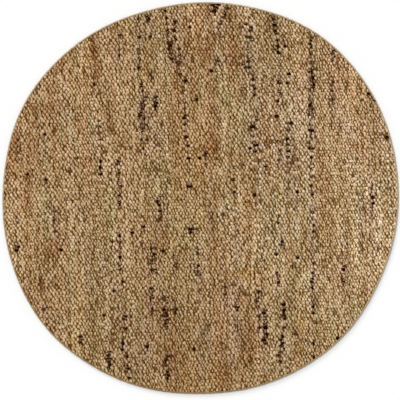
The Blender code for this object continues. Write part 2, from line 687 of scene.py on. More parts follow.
@dataclass(frozen=True)
class PlainFinish:
    """Even matt finish, for the floor."""

    name: str
    color: Color
    roughness: float = 0.9

    def made(self) -> bpy.types.Material:
        """Builds the material.

        Returns:
            The material.
        """
        material = bpy.data.materials.new(self.name)
        material.use_nodes = True
        shader = material.node_tree.nodes["Principled BSDF"]
        shader.inputs["Base Color"].default_value = self.color
        shader.inputs["Roughness"].default_value = self.roughness
        shader.inputs["Specular IOR Level"].default_value = 0.0
        return material


# --- Colours along the yarns ----------------------------------------------------------------------


class Streak(NamedTuple):
    """A band of yarns spun with dark fibre, by its place in the photo, in pixels."""

    x: float  # at its top
    top: float
    bottom: float
    lean: float  # how far right its bottom lies
    width: float
    share: float  # of its crests that are dark
    dye: Dye = Dye.BLACK


class Fleck(NamedTuple):
    """One crest that is almost black, by its place in the photo, in pixels."""

    x: float
    y: float


class Patch(NamedTuple):
    """A soft field where many yarns lean towards a colour, by its place in the photo, in pixels."""

    x: float
    y: float
    half_width: float
    half_height: float
    dye: Dye
    strength: float
    lift: float = 0.0  # how much lighter it is, or darker


STREAKS = (
    Streak(137, 14, 34, 2, 3, 0.35),
    Streak(139, 36, 70, 0, 3, 0.30),
    Streak(141, 82, 98, 5, 5, 0.55),
    Streak(142, 98, 140, 2, 6, 0.40),
    Streak(147, 12, 22, 0, 4, 0.55),
    Streak(155, 96, 109, 0, 3, 0.70),
    Streak(166, 8, 40, 2, 3, 0.55),
    Streak(169, 40, 62, 4, 5, 0.75),
    Streak(175, 20, 40, 0, 3, 0.60),
    Streak(178, 46, 62, 3, 4, 0.45),
    Streak(175, 60, 78, 5, 6, 0.40),
    Streak(184, 86, 132, 2, 3, 0.45),
    Streak(215, 3, 12, 0, 8, 0.55),
    Streak(227, 8, 19, -5, 4, 0.60),
    Streak(220, 20, 40, 0, 6, 0.30),
    Streak(222, 54, 68, 0, 8, 0.20),
    Streak(252, 8, 22, 1, 3, 0.45),
    Streak(249, 22, 60, 1, 7, 0.32),
    Streak(247, 60, 80, 3, 8, 0.20),
    Streak(254, 75, 98, 0, 4, 0.50),
    Streak(253, 120, 152, 1, 7, 0.20),
    Streak(275, 16, 62, 4, 4, 0.20),
    Streak(279, 76, 110, 0, 3, 0.35),
    Streak(279, 140, 172, 0, 3, 0.30),
    Streak(288, 122, 158, 0, 3, 0.35),
    Streak(310, 33, 64, 2, 4, 0.45),
    Streak(312, 68, 92, 0, 5, 0.60),
    Streak(311, 94, 150, 0, 4, 0.40),
    Streak(311, 150, 200, 1, 3, 0.20),
    Streak(313, 200, 262, 0, 3, 0.12),
    Streak(313, 262, 314, 1, 2, 0.25),
    Streak(314, 320, 360, 1, 2, 0.30),
    Streak(332, 48, 62, 1, 3, 0.45),
    Streak(333, 80, 120, 1, 3, 0.35),
    Streak(372, 185, 212, 0, 3, 0.50),
    Streak(119, 30, 58, 0, 3, 0.40),
    Streak(99, 120, 142, 0, 3, 0.40),
    Streak(102, 158, 178, 0, 3, 0.30),
    Streak(118, 160, 208, 2, 3, 0.45),
    Streak(119, 228, 272, 1, 3, 0.40),
    Streak(159, 194, 222, 2, 4, 0.75),
    Streak(156, 228, 242, 0, 3, 0.40),
    Streak(153, 246, 274, 0, 6, 0.35),
    Streak(174, 248, 276, 1, 3, 0.50),
    Streak(197, 228, 280, 1, 4, 0.35),
    Streak(206, 148, 168, 0, 3, 0.50),
    Streak(152, 286, 314, 0, 4, 0.40),
    Streak(165, 290, 332, 1, 5, 0.55),
    Streak(175, 300, 314, 0, 3, 0.45),
    Streak(167, 352, 384, 1, 5, 0.45),
    Streak(147, 344, 358, 0, 3, 0.50),
    Streak(122, 338, 352, 2, 4, 0.50),
    Streak(127, 352, 372, 0, 4, 0.50),
    Streak(108, 350, 370, 1, 4, 0.50),
    Streak(124, 308, 330, 0, 4, 0.30),
    Streak(115, 284, 296, 0, 4, 0.40),
    Streak(81, 330, 344, 0, 3, 0.50),
    Streak(45, 304, 320, 2, 6, 0.35),
    Streak(55, 205, 240, 0, 3, 0.30),
    Streak(16, 240, 256, 1, 4, 0.30),
    Streak(277, 272, 292, 0, 3, 0.40),
    Streak(259, 290, 336, 0, 3, 0.40),
    Streak(265, 308, 344, 0, 4, 0.55),
    Streak(284, 300, 352, 1, 3, 0.40),
    Streak(279, 338, 372, 1, 3, 0.35),
    Streak(282, 222, 252, 0, 4, 0.30),
    Streak(237, 294, 340, 0, 3, 0.35),
    Streak(226, 286, 314, 0, 3, 0.30),
    Streak(343, 266, 284, 0, 3, 0.45),
    Streak(297, 330, 342, 0, 4, 0.40),
    Streak(92, 38, 84, 4, 5, 0.30, Dye.UMBER),
    Streak(66, 88, 110, 0, 4, 0.35, Dye.UMBER),
    Streak(217, 142, 166, 0, 4, 0.35, Dye.UMBER),
    Streak(242, 88, 102, 0, 4, 0.60, Dye.UMBER),
    Streak(256, 155, 215, 1, 6, 0.30, Dye.UMBER),
    Streak(282, 34, 56, 1, 4, 0.40, Dye.UMBER),
    Streak(288, 158, 190, 0, 3, 0.35, Dye.UMBER),
    Streak(295, 128, 212, 2, 4, 0.25, Dye.UMBER),
    Streak(346, 68, 100, 1, 3, 0.35, Dye.UMBER),
    Streak(361, 196, 255, 0, 4, 0.30, Dye.UMBER),
    Streak(112, 318, 346, 0, 5, 0.30, Dye.UMBER),
    Streak(42, 280, 292, 0, 5, 0.55, Dye.UMBER),
    Streak(46, 255, 278, 1, 4, 0.35, Dye.UMBER),
    Streak(54, 276, 288, 0, 3, 0.50, Dye.UMBER),
    Streak(26, 160, 180, 0, 3, 0.40, Dye.UMBER),
    Streak(196, 280, 312, 0, 9, 0.20, Dye.UMBER),
    Streak(209, 322, 336, -2, 6, 0.35, Dye.UMBER),
    Streak(243, 286, 300, 0, 4, 0.50, Dye.UMBER),
)

FLECKS = (
    Fleck(120, 54), Fleck(139, 36), Fleck(139, 67), Fleck(148, 18), Fleck(151, 38), Fleck(95, 85),
    Fleck(184, 82), Fleck(185, 118), Fleck(186, 124), Fleck(187, 137), Fleck(188, 146), Fleck(190, 159),
    Fleck(189, 187), Fleck(191, 187), Fleck(191, 26), Fleck(210, 71), Fleck(197, 98), Fleck(200, 160),
    Fleck(143, 118), Fleck(142, 148), Fleck(101, 161), Fleck(101, 168), Fleck(102, 175), Fleck(45, 135),
    Fleck(46, 178), Fleck(26, 175), Fleck(156, 102), Fleck(167, 17), Fleck(175, 29), Fleck(170, 46),
    Fleck(273, 20), Fleck(274, 26), Fleck(275, 32), Fleck(277, 41), Fleck(278, 48), Fleck(278, 54),
    Fleck(278, 116), Fleck(251, 125), Fleck(255, 125), Fleck(256, 144), Fleck(258, 143), Fleck(251, 148),
    Fleck(288, 137), Fleck(288, 150), Fleck(290, 124), Fleck(284, 45), Fleck(289, 74), Fleck(289, 84),
    Fleck(254, 80), Fleck(254, 88), Fleck(254, 95), Fleck(311, 41), Fleck(312, 72), Fleck(312, 79),
    Fleck(313, 84), Fleck(310, 107), Fleck(310, 114), Fleck(311, 130), Fleck(310, 148), Fleck(312, 195),
    Fleck(314, 227), Fleck(314, 232), Fleck(313, 264), Fleck(313, 278), Fleck(313, 283), Fleck(313, 288),
    Fleck(313, 307), Fleck(313, 312), Fleck(315, 343), Fleck(315, 357), Fleck(280, 223), Fleck(282, 241),
    Fleck(297, 258), Fleck(276, 254), Fleck(277, 282), Fleck(259, 299), Fleck(284, 305), Fleck(284, 312),
    Fleck(285, 337), Fleck(285, 343), Fleck(279, 339), Fleck(259, 327), Fleck(265, 328), Fleck(265, 334),
    Fleck(265, 340), Fleck(263, 313), Fleck(372, 203), Fleck(373, 196), Fleck(388, 136), Fleck(343, 269),
    Fleck(337, 338), Fleck(299, 364), Fleck(369, 94), Fleck(376, 101), Fleck(233, 181), Fleck(233, 192),
    Fleck(254, 194), Fleck(296, 192), Fleck(265, 165), Fleck(191, 229), Fleck(191, 234), Fleck(193, 230),
    Fleck(159, 201), Fleck(159, 206), Fleck(161, 210), Fleck(119, 235), Fleck(113, 241), Fleck(120, 258),
    Fleck(124, 282), Fleck(114, 289), Fleck(62, 251), Fleck(17, 252), Fleck(152, 270), Fleck(151, 248),
    Fleck(163, 251), Fleck(198, 266), Fleck(198, 271), Fleck(143, 225), Fleck(131, 232), Fleck(194, 350),
    Fleck(165, 310), Fleck(166, 315), Fleck(176, 311), Fleck(105, 315), Fleck(127, 317), Fleck(123, 343),
    Fleck(124, 350), Fleck(128, 356), Fleck(107, 354), Fleck(109, 366), Fleck(147, 348), Fleck(168, 371),
    Fleck(168, 379), Fleck(129, 379), Fleck(214, 5), Fleck(218, 8), Fleck(216, 11), Fleck(226, 14),
)

PATCHES = (
    Patch(368, 240, 48, 80, Dye.STRAW, 0.10, 0.20),
    Patch(338, 88, 28, 30, Dye.PEACH, 0.20, 0.16),
    Patch(300, 210, 35, 70, Dye.SAGE, 0.20, 0.07),
    Patch(200, 345, 45, 55, Dye.MAUVE, 0.12, -0.20),
    Patch(141, 250, 12, 110, Dye.OLIVE, 0.12, -0.09),
    Patch(200, 160, 26, 50, Dye.OLIVE, 0.15, -0.03),
    Patch(108, 62, 30, 30, Dye.PEACH, 0.25, 0.06),
    Patch(14, 240, 14, 40, Dye.HONEY, 0.15, 0.12),
    Patch(394, 195, 9, 70, Dye.GREY, 0.30, 0.16),
    Patch(290, 122, 20, 38, Dye.MAUVE, 0.30, 0.10),
    Patch(200, 20, 16, 16, Dye.PEACH, 0.35, 0.08),
    Patch(362, 140, 20, 26, Dye.PEACH, 0.25, 0.07),
    Patch(268, 240, 14, 28, Dye.SAGE, 0.30, 0.05),
    Patch(225, 205, 7, 12, Dye.SAGE, 0.40, 0.07),
    Patch(24, 150, 22, 80, Dye.RUSSET, 0.16, -0.02),
    Patch(95, 165, 45, 60, Dye.PEACH, 0.12, 0.02),
    Patch(100, 335, 55, 40, Dye.OLIVE, 0.20, -0.08),
    Patch(200, 386, 70, 14, Dye.HONEY, 0.20, -0.12),
    Patch(180, 330, 24, 50, Dye.HONEY, 0.12, -0.06),
    Patch(150, 45, 40, 34, Dye.OLIVE, 0.15, -0.06),
    Patch(62, 62, 5, 8, Dye.RUSSET, 0.60),
    Patch(95, 62, 4, 26, Dye.RUSSET, 0.35, -0.12),
    Patch(207, 53, 4, 12, Dye.RUSSET, 0.65, -0.08),
    Patch(211, 146, 7, 14, Dye.RUSSET, 0.60, -0.14),
    Patch(205, 108, 6, 14, Dye.PEACH, 0.50),
    Patch(228, 16, 6, 5, Dye.RUSSET, 0.55),
    Patch(232, 57, 5, 12, Dye.RUSSET, 0.35),
    Patch(232, 154, 6, 5, Dye.RUSSET, 0.45, -0.08),
    Patch(217, 200, 5, 8, Dye.RUSSET, 0.40),
    Patch(208, 178, 7, 14, Dye.RUSSET, 0.25),
    Patch(159, 235, 5, 15, Dye.RUSSET, 0.50, -0.10),
    Patch(217, 255, 7, 16, Dye.HONEY, 0.50, -0.03),
    Patch(190, 257, 5, 7, Dye.RUSSET, 0.30),
    Patch(248, 273, 11, 6, Dye.HONEY, 0.60),
    Patch(243, 303, 6, 12, Dye.RUSSET, 0.45, -0.04),
    Patch(247, 345, 8, 16, Dye.RUSSET, 0.40, -0.08),
    Patch(226, 372, 8, 8, Dye.RUSSET, 0.40, -0.04),
    Patch(167, 358, 7, 8, Dye.RUSSET, 0.50, -0.20),
    Patch(153, 304, 6, 10, Dye.RUSSET, 0.40, -0.06),
    Patch(50, 247, 6, 8, Dye.RUSSET, 0.55, -0.10),
    Patch(31, 108, 5, 6, Dye.RUSSET, 0.45),
    Patch(14, 142, 5, 9, Dye.RUSSET, 0.45, -0.05),
    Patch(24, 115, 5, 9, Dye.HONEY, 0.55),
    Patch(10, 168, 6, 12, Dye.RUSSET, 0.35, -0.04),
    Patch(55, 108, 14, 4, Dye.RUSSET, 0.40, -0.06),
    Patch(78, 127, 4, 9, Dye.RUSSET, 0.50, -0.04),
    Patch(87, 163, 6, 6, Dye.RUSSET, 0.40),
    Patch(25, 203, 6, 7, Dye.RUSSET, 0.40),
    Patch(112, 128, 3, 4, Dye.UMBER, 0.60, -0.15),
    Patch(325, 240, 6, 22, Dye.HONEY, 0.40, -0.05),
    Patch(355, 146, 5, 5, Dye.RUSSET, 0.45, -0.06),
    Patch(377, 108, 3, 4, Dye.RUSSET, 0.60),
    Patch(290, 255, 9, 10, Dye.RUSSET, 0.25, -0.03),
    Patch(304, 322, 4, 8, Dye.HONEY, 0.50),
    Patch(197, 100, 5, 10, Dye.OLIVE, 0.55, -0.03),
    Patch(229, 104, 4, 9, Dye.OLIVE, 0.55, -0.10),
    Patch(314, 98, 4, 34, Dye.SAGE, 0.40),
    Patch(68, 115, 6, 6, Dye.SAGE, 0.45),
    Patch(71, 135, 4, 6, Dye.SAGE, 0.50, 0.05),
    Patch(69, 58, 4, 8, Dye.OLIVE, 0.50),
    Patch(150, 167, 5, 6, Dye.OLIVE, 0.60, -0.12),
    Patch(148, 36, 8, 5, Dye.GREY, 0.50),
    Patch(150, 25, 4, 6, Dye.MAUVE, 0.60, 0.06),
    Patch(45, 150, 5, 14, Dye.SAGE, 0.40),
    Patch(46, 212, 5, 26, Dye.SAGE, 0.50),
    Patch(276, 215, 5, 26, Dye.OLIVE, 0.50),
    Patch(278, 318, 4, 16, Dye.OLIVE, 0.45),
    Patch(195, 250, 6, 20, Dye.OLIVE, 0.45, -0.03),
    Patch(170, 226, 6, 10, Dye.SAGE, 0.45),
    Patch(112, 215, 8, 20, Dye.OLIVE, 0.40),
    Patch(104, 262, 7, 12, Dye.SAGE, 0.40),
    Patch(205, 338, 7, 14, Dye.GREY, 0.45, -0.06),
    Patch(356, 190, 5, 9, Dye.OLIVE, 0.40),
    Patch(356, 215, 5, 9, Dye.SAGE, 0.50, 0.04),
    Patch(384, 184, 4, 14, Dye.OLIVE, 0.40),
    Patch(357, 310, 7, 10, Dye.OLIVE, 0.55, 0.02),
    Patch(38, 272, 5, 9, Dye.OLIVE, 0.45),
    Patch(66, 325, 4, 9, Dye.SAGE, 0.50, 0.04),
    Patch(346, 128, 6, 12, Dye.MAUVE, 0.40),
    Patch(254, 120, 7, 55, Dye.GREY, 0.30),
    Patch(314, 270, 4, 50, Dye.MAUVE, 0.40, 0.03),
    Patch(140, 48, 14, 20, Dye.TAN, 0.00, -0.16),
    Patch(275, 100, 38, 55, Dye.TAN, 0.00, 0.08),
    Patch(352, 76, 18, 22, Dye.TAN, 0.00, 0.11),
    Patch(108, 236, 24, 30, Dye.TAN, 0.00, -0.09),
    Patch(52, 205, 16, 24, Dye.TAN, 0.00, -0.07),
    Patch(205, 30, 20, 24, Dye.TAN, 0.00, 0.06),
    Patch(320, 255, 22, 22, Dye.TAN, 0.00, 0.07),
    Patch(182, 325, 16, 20, Dye.TAN, 0.00, 0.08),
)


class Run(NamedTuple):
    """Smooth change from yarn to yarn and along each yarn."""

    across: float  # how far it reaches from yarn to yarn, in crossings
    along: float  # and along a yarn
    weight: float = 1.0


@dataclass(frozen=True)
class DyePlan:
    """Which colour each stretch of yarn has, from the tables above and seeded chance."""

    across: np.ndarray  # pixel column of each crossing, one row for each weft yarn
    down: np.ndarray  # and its pixel row
    seed: int = SEED
    fleck_depth: float = 0.95  # how black the tables' single flecks are
    fleck_share: float = 0.010  # of all crossings, besides those in the tables
    under_share: float = 0.40  # how brown the yarn turns beside a fleck and below it
    back_share: float = 0.5  # how much of a streak shows on the underside
    streak_share: float = 1.25  # what the tables' shares are multiplied by
    streak_depth: tuple[float, float] = (0.40, 0.78)  # from the palest of them to the darkest
    halo: float = 0.4  # how strongly the yarns round a streak turn grey
    halo_range: tuple[float, float] = (0.4, 1.2)  # from the least of them to the most
    halo_width: float = 0.8  # how far it reaches, in widths of the streak
    brown_depth: tuple[float, float] = (0.35, 0.90)  # how dark scattered brown flecks are
    clumps: Run = Run(across=0.0, along=1.2)  # where they gather
    clump_start: float = 2.5  # how high the noise is where they start to
    clump_share: float = 0.5  # of the crossings there that turn brown
    fall_off: tuple[float, float, float] = (0.80, 1.0, 1.30)  # red, green and blue, as yarn darkens
    patch_edge: float = 0.7  # how soon a soft field fades past its half width
    patch_range: tuple[float, float] = (0.5, 1.5)  # how much of its colour each crossing takes
    crest_tone: float = 0.09  # how unlike the crests are
    tone_runs: tuple[Run, ...] = (
        Run(across=0.4, along=1.6, weight=0.08),
        Run(across=1.2, along=7.0, weight=0.10),
        Run(across=0.0, along=30.0, weight=0.07),
    )
    light_share: float = 0.5  # what is left of the tones above the mean
    dark_share: float = 1.15  # and of those below it
    hue_runs: tuple[Run, ...] = (
        Run(across=0.8, along=7.0),
        Run(across=4.0, along=12.0, weight=0.9),
    )
    hue_start: float = 0.6  # how high the noise is where a hue starts to show
    hue_rise: float = 0.7  # how soon it is full from there
    hues: tuple[tuple[Dye, float], ...] = (
        (Dye.STRAW, 0.35),
        (Dye.HONEY, 0.45),
        (Dye.PEACH, 0.30),
        (Dye.OLIVE, 0.40),
        (Dye.MAUVE, 0.35),
        (Dye.RUSSET, 0.35),
    )

    @property
    def crest(self) -> np.ndarray:
        """Which crossings have their weft yarn on the walked-on face."""
        yarn, row = np.indices(self.across.shape)
        return (row - self.across.shape[1] // 2 + yarn) % 2 == 0

    def smooth(self, rng: np.random.Generator, run: Run) -> np.ndarray:
        """Smooth noise over the grid of crossings, with a mean of 0 and its run's weight as spread.

        Args:
            rng: Source of chance.
            run: How far the noise is smoothed.

        Returns:
            The noise.
        """
        reaches = (run.across, run.along)
        margins = [int(3 * reach) + 1 for reach in reaches]
        size = [side + 2 * margin for side, margin in zip(self.across.shape, margins)]
        noise = rng.standard_normal(size)
        for axis, (reach, margin) in enumerate(zip(reaches, margins)):
            steps = np.arange(-margin, margin + 1)
            kernel = np.exp(-0.5 * (steps / reach) ** 2) if reach else steps == 0
            kernel = kernel / kernel.sum()
            noise = np.apply_along_axis(lambda line: np.convolve(line, kernel, "valid"), axis, noise)
        return run.weight * (noise - noise.mean()) / noise.std()

    def painted(self) -> np.ndarray:
        """Colours every crossing.

        Returns:
            Linear colours, and the share of black fibre as a fourth channel, by yarn and crossing.
        """
        rng = np.random.default_rng(self.seed)
        color = np.broadcast_to(np.array(Dye.TAN.value[:3]), (*self.across.shape, 3)).copy()
        for dye, weight in self.hues:
            noise = sum(self.smooth(rng, run) for run in self.hue_runs)
            share = np.clip((noise - self.hue_start) * self.hue_rise, 0, 1)
            self.lean_to(color, dye, share * weight)
        tone = self.tones(rng)
        uneven = rng.uniform(*self.patch_range, tone.shape)
        for patch in PATCHES:
            wide = (self.across - patch.x) / patch.half_width
            high = (self.down - patch.y) / patch.half_height
            share = np.exp(-self.patch_edge * (wide**2 + high**2))
            tone += patch.lift * share
            self.lean_to(color, patch.dye, patch.strength * share * uneven)
        color *= np.exp(tone[..., None] * np.array(self.fall_off))
        black = self.darken(color, rng)
        return np.clip(np.dstack([color, black]), 0, 1)

    def lean_to(self, color: np.ndarray, dye: Dye, share: np.ndarray) -> None:
        """Turns colours towards a dye by a share from 0 to 1."""
        color += (np.array(dye.value[:3]) - color) * np.clip(share, 0, 1)[..., None]

    def tones(self, rng: np.random.Generator) -> np.ndarray:
        """How much lighter or darker each crossing is, from crest to crest and yarn to yarn.

        Args:
            rng: Source of chance.

        Returns:
            The natural logarithm of its lightness.
        """
        tone = self.crest_tone * rng.standard_normal(self.across.shape)
        tone += sum(self.smooth(rng, run) for run in self.tone_runs)
        return tone * np.where(tone > 0, self.light_share, self.dark_share)

    def darken(self, color: np.ndarray, rng: np.random.Generator) -> np.ndarray:
        """Spins the brown flecks and streaks into the yarns, and works out the black ones.

        Args:
            color: Colours by yarn and crossing, changed in place.
            rng: Source of chance.

        Returns:
            The share of black fibre.
        """
        crest = self.crest
        dark = {dye: np.zeros(crest.shape) for dye in (Dye.SHADOW, Dye.UMBER, Dye.BLACK)}
        scattered = rng.random(crest.shape) < self.fleck_share
        gathered = self.smooth(rng, self.clumps) > self.clump_start
        scattered |= gathered & (rng.random(crest.shape) < self.clump_share)
        dark[Dye.SHADOW] += scattered * rng.uniform(*self.brown_depth, crest.shape)
        for streak in STREAKS:
            run = (self.down - streak.top) / (streak.bottom - streak.top)
            off = np.abs(self.across - streak.x - streak.lean * run)
            inside = (run >= 0) & (run <= 1)
            if streak.dye is Dye.BLACK:
                near = np.exp(-0.5 * (off / (streak.width * self.halo_width)) ** 2) * inside
                grey = self.halo * near * rng.uniform(*self.halo_range, crest.shape)
                self.lean_to(color, Dye.MAUVE, grey)
            share = self.streak_share * streak.share * np.where(crest, 1.0, self.back_share)
            chosen = inside & (off <= streak.width / 2) & (rng.random(crest.shape) < share)
            strength = chosen * rng.uniform(*self.streak_depth, crest.shape)
            dark[streak.dye] = np.maximum(dark[streak.dye], strength)
        for fleck in FLECKS:
            away = (self.across - fleck.x) ** 2 + (self.down - fleck.y) ** 2
            nearest = np.where(crest, away, np.inf).argmin()
            dark[Dye.BLACK].flat[nearest] = self.fleck_depth
        for dye, strength in dark.items():
            beside = np.maximum(np.roll(strength, 1, 1), np.roll(strength, -1, 1))
            hidden = np.maximum(np.roll(strength, 1, 0), np.roll(strength, -1, 0)) * ~crest
            self.lean_to(color, Dye.UMBER, np.maximum(beside, hidden) * self.under_share)
            if dye is not Dye.BLACK:
                self.lean_to(color, dye, strength)
        return dark[Dye.BLACK]


# --- Sub-assemblies -------------------------------------------------------------------------------


@dataclass(frozen=True)
class Weave:
    """The lattice of weft yarns and warp threads: how far apart they lie and how they wander."""

    outline: Outline
    weft_pitch: float = 0.00641
    warp_pitch: float = 0.01165
    yarns: int = 234
    rim_inset: float = 0.0030  # from the rug's edge to the cut ends, inside the binding
    overrun: float = 1.04  # how far strands start out past the outline, before they are cut
    fan: tuple[float, float, float] = (-0.044, 0.0187, -0.0273)  # lean, spread and bow of the weft
    drift: tuple[float, float] = (0.018, 0.028)  # how far yarns and rows wander
    drift_scale: float = 2.6
    drift_detail: float = 1.5
    drift_layer: float = 7.3  # keeps the two noises apart
    ripple: tuple[float, float] = (0.016, 0.008)  # and in short ripples
    ripple_scale: float = 9.0
    ripple_detail: float = 1.0
    ripple_layer: float = 3.1

    @property
    def span(self) -> float:
        """Length of the strands before they are cut."""
        return 2 * self.outline.radius * self.overrun

    def placed(self, graph: Graph, line_x: Term, line_y: Term, seed: Operand) -> tuple[Term, Term]:
        """Moves a point of an even lattice to where the loom and the years have left it.

        Args:
            graph: The tree to write in.
            line_x: Its even place along X.
            line_y: Its even place along Y.
            seed: Chance's seed.

        Returns:
            Its place along X and Y.
        """
        place = graph.vector(line_x, line_y, seed * self.drift_layer)
        drift = graph.noise(place, self.drift_scale, self.drift_detail, "Color")
        drift_x, drift_y, _ = graph.parts(drift)
        place = graph.vector(line_x, line_y, seed * self.ripple_layer)
        ripple = graph.noise(place, self.ripple_scale, self.ripple_detail, "Color")
        ripple_x, ripple_y, _ = graph.parts(ripple)
        lean, spread, bow = self.fan
        fan = line_y * lean + line_x * line_y * spread + line_y * line_y * bow
        x = line_x + fan + (drift_x - 0.5) * self.drift[0] + (ripple_x - 0.5) * self.ripple[0]
        y = line_y + (drift_y - 0.5) * self.drift[1] + (ripple_y - 0.5) * self.ripple[1]
        return x, y

    def cut(self, graph: Graph, strand: Term, x: Term, y: Term) -> tuple[Term, Term, Term, Term]:
        """Cuts strands at the outline, and leaves a ring at each end that can close to a point.

        Args:
            graph: The tree to write in.
            strand: Rings of points along the strands.
            x: Each point's line along X.
            y: And along Y.

        Returns:
            The cut strands, each point's distance from the middle, the limit there, and 1 for the
            rings that keep their girth.
        """
        radius, limit = self.limits(graph, x, y)
        strand = graph.store(strand, "inside", graph.math("LESS_THAN", radius, limit))
        index = graph.index()
        inside = graph.named("inside")
        near = []
        for step in (1.0, 2.0):
            before = graph.term("GeometryNodeFieldAtIndex", {"Value": inside, "Index": index - step})
            after = graph.term("GeometryNodeFieldAtIndex", {"Value": inside, "Index": index + step})
            near.append(graph.math("MAXIMUM", before, after))
        beside, beyond = near
        strand = graph.store(strand, "full", graph.math("MAXIMUM", inside, beside))
        outer = graph.math("LESS_THAN", inside + beside + beyond, 0.5)
        strand = graph.store(strand, "outer", outer)
        gone = {"Geometry": strand, "Selection": graph.named("outer")}
        strand = graph.term("GeometryNodeDeleteGeometry", gone)
        return strand, radius, limit, graph.named("full")

    def limits(self, graph: Graph, x: Term, y: Term) -> tuple[Term, Term]:
        """A place's distance from the middle, and how far out a strand may reach there."""
        radius, scale = self.outline.polar(graph, x, y)
        return radius, scale * (self.outline.radius - self.rim_inset)

    def held_in(self, graph: Graph, x: Term, y: Term) -> tuple[Term, Term]:
        """Draws a place back inside the binding, where a yarn's side would stand out through it.

        Args:
            graph: The tree to write in.
            x: Place along X.
            y: Place along Y.

        Returns:
            The place that it is drawn back to.
        """
        radius, limit = self.limits(graph, x, y)
        pull = graph.math("MINIMUM", limit / radius, 1.0)
        return x * pull, y * pull


@dataclass
class WarpThreads:
    """The thin warp threads, straight through the middle of the weave."""

    weave: Weave
    thickness: float
    girth: float = 0.0025
    sides: int = 4
    rings: int = 41
    pattern_shift: float = 289.0  # turns of its pattern for each metre of row, so no two threads match
    finish: YarnFinish = field(
        default_factory=lambda: YarnFinish(name="warp_yarn", plain_dye=Dye.UMBER, relief=0.0003)
    )
    pieces: list[bpy.types.Object] = field(default_factory=list)

    def build(self) -> None:
        """Lays the threads by Geometry Nodes."""
        graph = Graph.geometry("warp_threads")
        inputs = {
            "Thickness": self.thickness,
            "Girth": self.girth,
            "Seed": SEED,
            "Thread Material": self.finish.made(),
        }
        thickness, girth, seed, material = graph.entries(inputs)
        span = self.weave.span
        count = 2 * int(self.weave.outline.radius / self.weave.warp_pitch) + 1
        strand, along = graph.strip(self.sides, self.rings)
        strand = graph.store(strand, "line_x", along * span)
        line = graph.term("GeometryNodeMeshLine", {"Count": count})
        row = graph.index() - (count - 1) / 2
        line = graph.store(line, "line_y", row * self.weave.warp_pitch)
        many = graph.repeated(line, strand)
        line_x, line_y, turn = graph.named("line_x"), graph.named("line_y"), graph.named("turn")
        x, y = self.weave.placed(graph, line_x, line_y, seed)
        many, radius, limit, full = self.weave.cut(graph, many, x, y)
        pull = graph.math("MINIMUM", limit / radius, 1.0)
        angle = turn * -math.tau
        half = girth * full * 0.5
        z = thickness * 0.5 + graph.sin(angle) * half
        many = graph.moved(many, x * pull, y * pull + graph.cos(angle) * half, z)
        pattern_turn = turn + line_y * self.pattern_shift
        many = graph.store_map(many, YARN_MAP, line_x + MAP_START, pattern_turn)
        bake_row = line_y / self.weave.warp_pitch + count / 2 + BAKE_MARGIN
        bake_up = (bake_row + turn * BAKE_FILL) / (count + 1)
        many = graph.store_map(many, BAKE_MAP, line_x / span + 0.5, bake_up)
        graph.end(many, material)
        self.pieces.append(graph.grown("warp_threads", inputs))


class FineBand(NamedTuple):
    """Neighbouring yarns that are spun finer than the rest."""

    yarn: float  # the middle one's number, from the left
    spread: float  # yarns on either side over which it fades
    share: float  # how much finer the middle one is


class Wander(NamedTuple):
    """How a yarn changes along its length, as noise."""

    per_yarn: float  # how unlike neighbouring yarns are
    per_metre: float  # how soon it changes along a yarn
    layer: float  # keeps the noises apart


